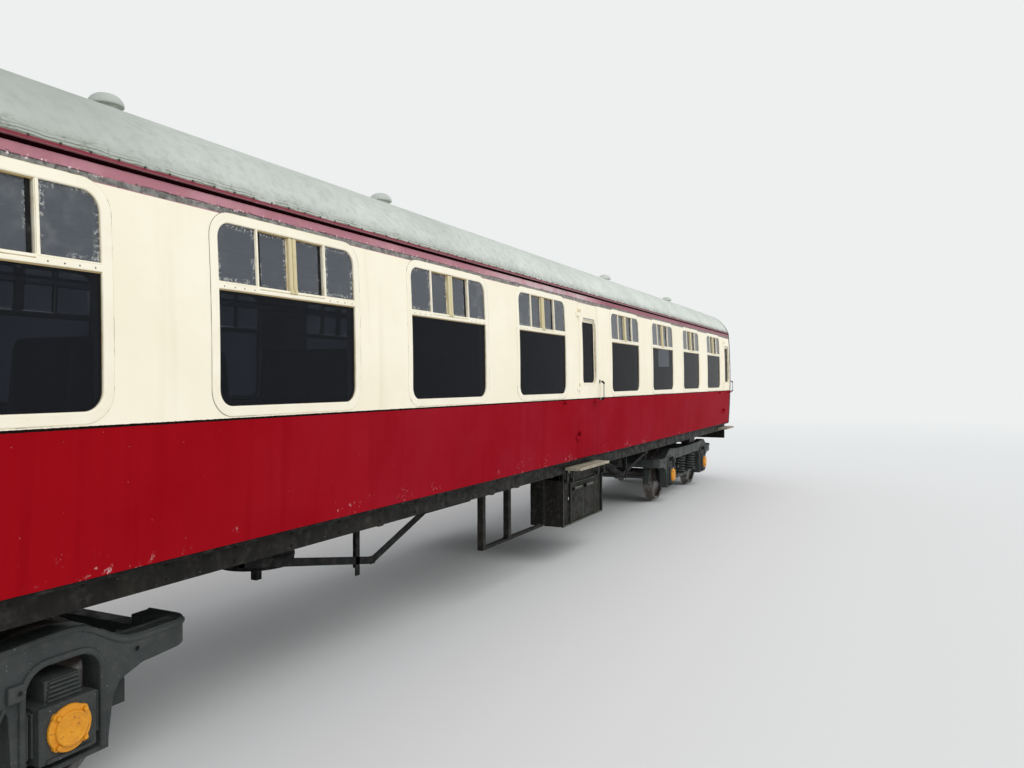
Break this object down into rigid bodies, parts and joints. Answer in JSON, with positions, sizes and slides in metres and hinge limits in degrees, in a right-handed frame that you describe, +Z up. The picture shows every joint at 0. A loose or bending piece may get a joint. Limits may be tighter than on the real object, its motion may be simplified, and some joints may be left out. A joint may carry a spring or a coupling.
{
  "type": "passenger coach",
  "caption": "Open saloon railway coach on two bogies, with hinged side doors, end gangways and bench seats at tables.",
  "frame": {"origin": "middle of the coach, on the plane that the wheel flanges stand on; rail level is 30 mm above it", "axes": "+X along the coach towards the end without toilets, +Y to its left side, +Z up"},
  "size_m": [20.36, 2.9, 3.8899],
  "materials": {
    "bellows_cloth": "matt",
    "black_paint": "satin, dusty",
    "body_paint": "gloss, crimson below and cream above the waist line",
    "bogie_paint": "rough casting, yellow axlebox covers",
    "cantrail_paint": "satin, weathered",
    "end_paint": "satin",
    "frame_paint": "gloss",
    "glass": "dark clear",
    "panel_wood": "varnished",
    "rack_metal": "satin",
    "roof_paint": "matt, weathered",
    "seat_cloth": "woven",
    "steel_castings": "rough, greasy",
    "step_wood": "weathered",
    "wheel_steel": "rusty with a bright tread"
  },
  "bodies": {
    "coach": {"battery_boxes": "black_paint", "body_side_left": "body_paint", "body_side_right": "body_paint", "brake_cylinders": "black_paint", "buffers": "steel_castings", "cantrails": "cantrail_paint", "couplers": "steel_castings", "door_fittings": "body_paint", "end_wall_far": "end_paint", "end_wall_near": "end_paint", "floor": "black_paint", "footsteps": "step_wood", "gangway_bellows_far": "bellows_cloth", "gangway_bellows_near": "bellows_cloth", "gangway_faceplates": "black_paint", "hung_frames": "black_paint", "luggage_racks": "rack_metal", "partitions": "panel_wood", "pipe_stubs": "black_paint", "roof": "roof_paint", "roof_vents": "roof_paint", "seat_frames": "panel_wood", "seat_pads": "seat_cloth", "tables": "panel_wood", "truss_frames": "black_paint", "underframe": "black_paint", "window_frames": "frame_paint", "window_glass": "glass"},
    "bogie_far": {"bogie_far_bolster": "bogie_paint", "bogie_far_brakes": "bogie_paint", "bogie_far_equalisers": "bogie_paint", "bogie_far_frame": "bogie_paint", "bogie_far_springs": "bogie_paint"},
    "bogie_near": {"bogie_near_bolster": "bogie_paint", "bogie_near_brakes": "bogie_paint", "bogie_near_equalisers": "bogie_paint", "bogie_near_frame": "bogie_paint", "bogie_near_springs": "bogie_paint"},
    "door_left_centre": {"door_left_centre": "body_paint", "door_left_centre_glass": "glass"},
    "door_left_far": {"door_left_far": "body_paint", "door_left_far_glass": "glass"},
    "door_left_near": {"door_left_near": "body_paint", "door_left_near_glass": "glass"},
    "door_right_centre": {"door_right_centre": "body_paint", "door_right_centre_glass": "glass"},
    "door_right_far": {"door_right_far": "body_paint", "door_right_far_glass": "glass"},
    "door_right_near": {"door_right_near": "body_paint", "door_right_near_glass": "glass"},
    "wheelset_far_inner": {"wheelset_far_inner": "wheel_steel"},
    "wheelset_far_outer": {"wheelset_far_outer": "wheel_steel"},
    "wheelset_near_inner": {"wheelset_near_inner": "wheel_steel"},
    "wheelset_near_outer": {"wheelset_near_outer": "wheel_steel"}
  },
  "joints": [
    {"name": "bogie_far_swivel", "type": "hinge", "parent": "coach", "child": "bogie_far", "pos_m": [7.0865, 0, 0.96], "axis": [0, 0, 1], "range_deg": [-4, 4]},
    {"name": "bogie_near_swivel", "type": "hinge", "parent": "coach", "child": "bogie_near", "pos_m": [-7.0865, 0, 0.96], "axis": [0, 0, 1], "range_deg": [-4, 4]},
    {"name": "wheelset_far_outer_roll", "type": "hinge", "parent": "bogie_far", "child": "wheelset_far_outer", "pos_m": [8.382, 0, 0.487], "axis": [0, 1, 0], "continuous": true},
    {"name": "wheelset_far_inner_roll", "type": "hinge", "parent": "bogie_far", "child": "wheelset_far_inner", "pos_m": [5.791, 0, 0.487], "axis": [0, 1, 0], "continuous": true},
    {"name": "wheelset_near_outer_roll", "type": "hinge", "parent": "bogie_near", "child": "wheelset_near_outer", "pos_m": [-8.382, 0, 0.487], "axis": [0, 1, 0], "continuous": true},
    {"name": "wheelset_near_inner_roll", "type": "hinge", "parent": "bogie_near", "child": "wheelset_near_inner", "pos_m": [-5.791, 0, 0.487], "axis": [0, 1, 0], "continuous": true},
    {"name": "door_right_near_hinge", "type": "hinge", "parent": "coach", "child": "door_right_near", "pos_m": [-8.1575, -1.385, 2], "axis": [0, 0, -1], "range_deg": [0, 170]},
    {"name": "door_right_centre_hinge", "type": "hinge", "parent": "coach", "child": "door_right_centre", "pos_m": [0.4375, -1.385, 2], "axis": [0, 0, -1], "range_deg": [0, 170]},
    {"name": "door_right_far_hinge", "type": "hinge", "parent": "coach", "child": "door_right_far", "pos_m": [9.0825, -1.385, 2], "axis": [0, 0, -1], "range_deg": [0, 170]},
    {"name": "door_left_near_hinge", "type": "hinge", "parent": "coach", "child": "door_left_near", "pos_m": [-7.5025, 1.385, 2], "axis": [0, 0, -1], "range_deg": [0, 170]},
    {"name": "door_left_centre_hinge", "type": "hinge", "parent": "coach", "child": "door_left_centre", "pos_m": [1.0925, 1.385, 2], "axis": [0, 0, -1], "range_deg": [0, 170]},
    {"name": "door_left_far_hinge", "type": "hinge", "parent": "coach", "child": "door_left_far", "pos_m": [9.7375, 1.385, 2], "axis": [0, 0, -1], "range_deg": [0, 95]}
  ]
}
